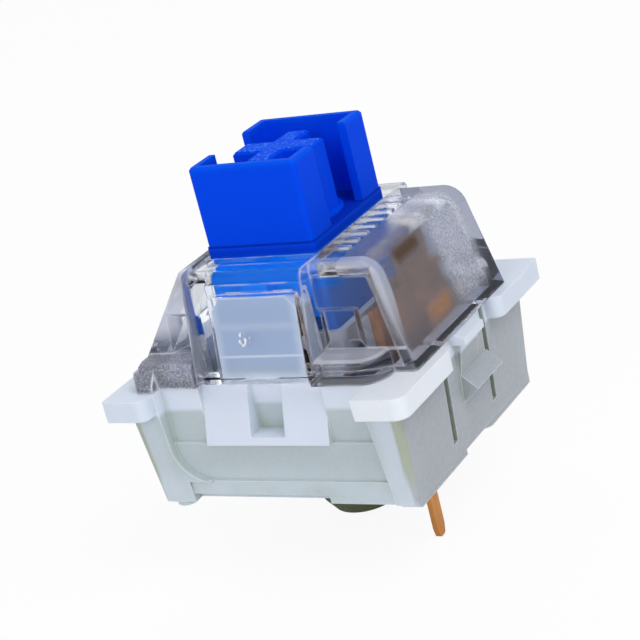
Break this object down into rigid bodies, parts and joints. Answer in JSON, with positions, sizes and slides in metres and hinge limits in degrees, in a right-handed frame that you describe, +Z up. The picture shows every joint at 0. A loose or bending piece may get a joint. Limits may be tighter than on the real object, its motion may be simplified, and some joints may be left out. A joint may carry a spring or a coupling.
{
  "type": "mechanical keyboard switch",
  "caption": "Square push switch for one keyboard key: milky lower housing with locating post, clear upper housing, blue stem with a keycap cross, click jacket, return spring and leaf contacts.",
  "frame": {"origin": "on the axis of the round locating post, at the face of the floor strip that stands on the circuit board", "axes": "+Z is up along the stem's travel, +Y points to the contact side and +X to a latch side"},
  "size_m": [0.0156, 0.0156, 0.0188],
  "materials": {
    "milky_plastic": "milky, faintly translucent moulding",
    "clear_plastic": "clear moulding, frosted on the +Y face",
    "blue_plastic": "satin blue moulding",
    "white_plastic": "satin white moulding",
    "spring_steel": "drawn spring wire",
    "copper_alloy": "bare copper alloy sheet",
    "contact_alloy": "gold-coloured contact bar"
  },
  "bodies": {
    "housing": {"lower_housing": "milky_plastic", "upper_housing": "clear_plastic", "return_spring": "spring_steel", "fixed_terminal": "copper_alloy", "fixed_crosspoint": "contact_alloy", "moving_terminal": "copper_alloy"},
    "plunger": {"stem": "blue_plastic"},
    "jacket": {"click_jacket": "white_plastic"},
    "leaf": {"contact_leaf": "copper_alloy", "moving_crosspoint": "contact_alloy"}
  },
  "joints": [
    {"name": "stem_slide", "type": "slide", "parent": "housing", "child": "plunger", "axis": [0, 0, -1], "range_m": [0, 0.004], "stiffness_N_per_m": 75, "springref_m": -0.004, "deforming": ["return_spring"]},
    {"name": "jacket_slide", "type": "slide", "parent": "plunger", "child": "jacket", "axis": [0, 0, 1], "range_m": [0, 0.0008]},
    {"name": "leaf_flex", "type": "hinge", "parent": "housing", "child": "leaf", "pos_m": [0, 0.00488, 0.0016], "axis": [1, 0, 0], "range_deg": [0, 2.9]}
  ],
  "couplings": [
    {"joint": "leaf_flex", "follows": "stem_slide", "rad_per_m": 12.654}
  ]
}
